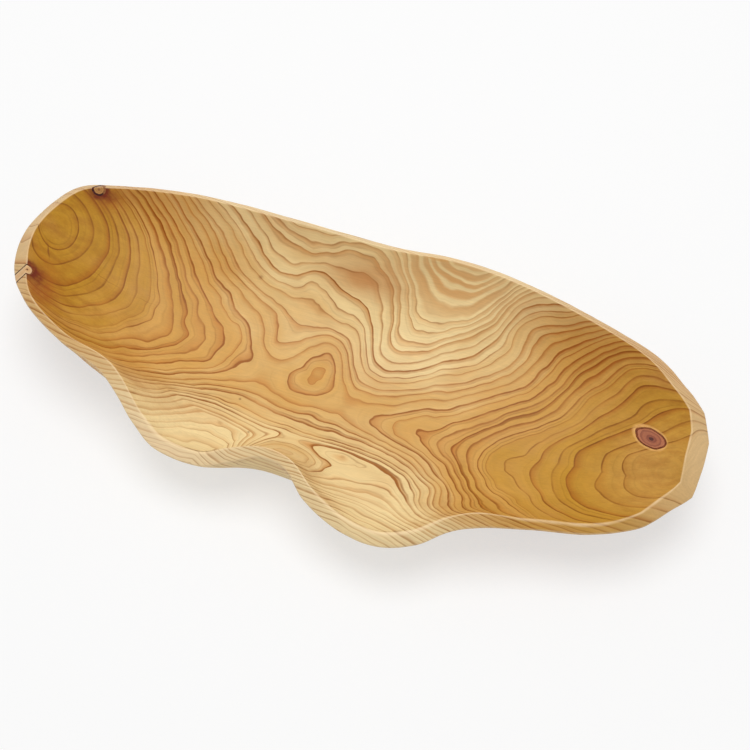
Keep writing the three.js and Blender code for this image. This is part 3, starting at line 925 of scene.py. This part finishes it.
def barkFinish(name):
    # dark flakes, worn lighter on one side
    knot = knots[name]
    radius = knot["radius"]
    tree, material, shader = newFinish(name + "DryBark")
    place = millimetres(tree)
    flake = speckle(tree, place, barkLook["flakeSize"], 3.0)
    share = between(tree, flake, *barkLook["flakeSpan"])
    colour = blendColour(tree, share, knot["barkDark"], knot["barkLight"])
    side = vecCalc(tree, "DOT_PRODUCT", vecCalc(tree, "SUBTRACT", place, knot["point"]), knot["fadeTo"])
    side = ramp(tree, calc(tree, "SUBTRACT", flake, 0.5), radius * barkLook["fadeRagged"], side)
    faded = between(tree, side, *(radius * share for share in barkLook["fadeSpan"]))
    colour = blendColour(tree, times(tree, faded, barkLook["fadeAmount"]), colour, knot["barkFade"])
    coat(tree, shader, barkLook, colour, ramp(tree, flake, *barkLook["rough"]), flake)
    return material


finishes = {"carvedBowl": bowlWood()}
for name in knots:
    finishes[name + "Stub"] = stubWood(name)
    finishes[name + "Bark"] = barkFinish(name)
for name, piece in pieces.items():
    piece.data.materials.clear()
    piece.data.materials.append(finishes[name])
print("finishes made:", len(finishes))

# camera at the photograph's viewing angle: degrees and millimetres
view = {"azimuth": 17.554, "elevation": 59.5, "lens": 58.55, "sensor": 36, "distance": 777.0,
        "aim": (20.685, 10.473, 35.0)}


def placeCamera():
    camera = bpy.data.objects.new("camera", bpy.data.cameras.new("camera"))
    bpy.context.scene.collection.objects.link(camera)
    camera.data.lens, camera.data.sensor_width = view["lens"], view["sensor"]
    a, e = math.radians(view["azimuth"]), math.radians(view["elevation"])
    right = Vector((math.cos(a), math.sin(a), 0))
    up = Vector((-math.sin(e) * math.sin(a), math.sin(e) * math.cos(a), math.cos(e)))
    back = right.cross(up)
    turn = Matrix((right, up, back)).transposed().to_4x4()
    stand = (Vector(view["aim"]) + back * view["distance"]) * mm
    camera.matrix_world = Matrix.Translation(stand) @ turn
    bpy.context.scene.camera = camera


placeCamera()


# floor, lamp and world, in metres
studio = {
    "floorSize": 6.0, "floorColour": (0.96, 0.96, 0.96, 1), "floorGlow": 0.6,
    "lampSize": 1.6, "lampPower": 28.0, "lampFrom": (-0.1, 0.35, 2.1),
    "roomColour": (1, 1, 1, 1), "fill": 0.42,
}


def seenDirectly(tree):
    # 1 for camera, glossy and transmission rays
    path = tree.nodes.new("ShaderNodeLightPath")
    total = path.outputs["Is Camera Ray"]
    for name in ("Is Glossy Ray", "Is Transmission Ray"):
        total = calc(tree, "ADD", total, path.outputs[name])
        total.node.use_clamp = True
    return total


def mixShaders(tree, share, bounced, seen, outKind):
    # one shader for bounced light and one for what is seen directly
    out = tree.nodes.new(outKind)
    mix = tree.nodes.new("ShaderNodeMixShader")
    plug(tree, share, mix.inputs["Fac"])
    plug(tree, bounced.outputs[0], mix.inputs[1])
    plug(tree, seen.outputs[0], mix.inputs[2])
    plug(tree, mix.outputs[0], out.inputs["Surface"])


def layFloor():
    bm = bmesh.new()
    bmesh.ops.create_grid(bm, x_segments=2, y_segments=2, size=studio["floorSize"] / 2)
    floor = meshObject("floor", bm)
    paper = bpy.data.materials.new("paleFloor")
    paper.use_nodes = True
    tree = paper.node_tree
    tree.nodes.clear()
    diffuse = tree.nodes.new("ShaderNodeBsdfDiffuse")
    diffuse.inputs["Color"].default_value = studio["floorColour"]
    glow = tree.nodes.new("ShaderNodeEmission")
    glow.inputs["Strength"].default_value = 1.0
    share = times(tree, seenDirectly(tree), studio["floorGlow"])
    mixShaders(tree, share, diffuse, glow, "ShaderNodeOutputMaterial")
    floor.data.materials.append(paper)


def hangLamp():
    lamp = bpy.data.objects.new("softLamp", bpy.data.lights.new("softLamp", "AREA"))
    lamp.data.shape, lamp.data.size, lamp.data.energy = "DISK", studio["lampSize"], studio["lampPower"]
    lamp.location = studio["lampFrom"]
    lamp.rotation_euler = (-Vector(studio["lampFrom"])).to_track_quat("-Z", "Y").to_euler()
    bpy.context.scene.collection.objects.link(lamp)


def lightRoom():
    world = bpy.data.worlds.new("paleRoom")
    bpy.context.scene.world = world
    world.use_nodes = True
    tree = world.node_tree
    tree.nodes.clear()
    sky, white = (tree.nodes.new("ShaderNodeBackground") for k in range(2))
    for node in (sky, white):
        node.inputs["Color"].default_value = studio["roomColour"]
    sky.inputs["Strength"].default_value = studio["fill"]
    mixShaders(tree, seenDirectly(tree), sky, white, "ShaderNodeOutputWorld")


layFloor()
hangLamp()
lightRoom()
bpy.context.scene.view_settings.view_transform = "Standard"
print("camera, floor and lamp placed")
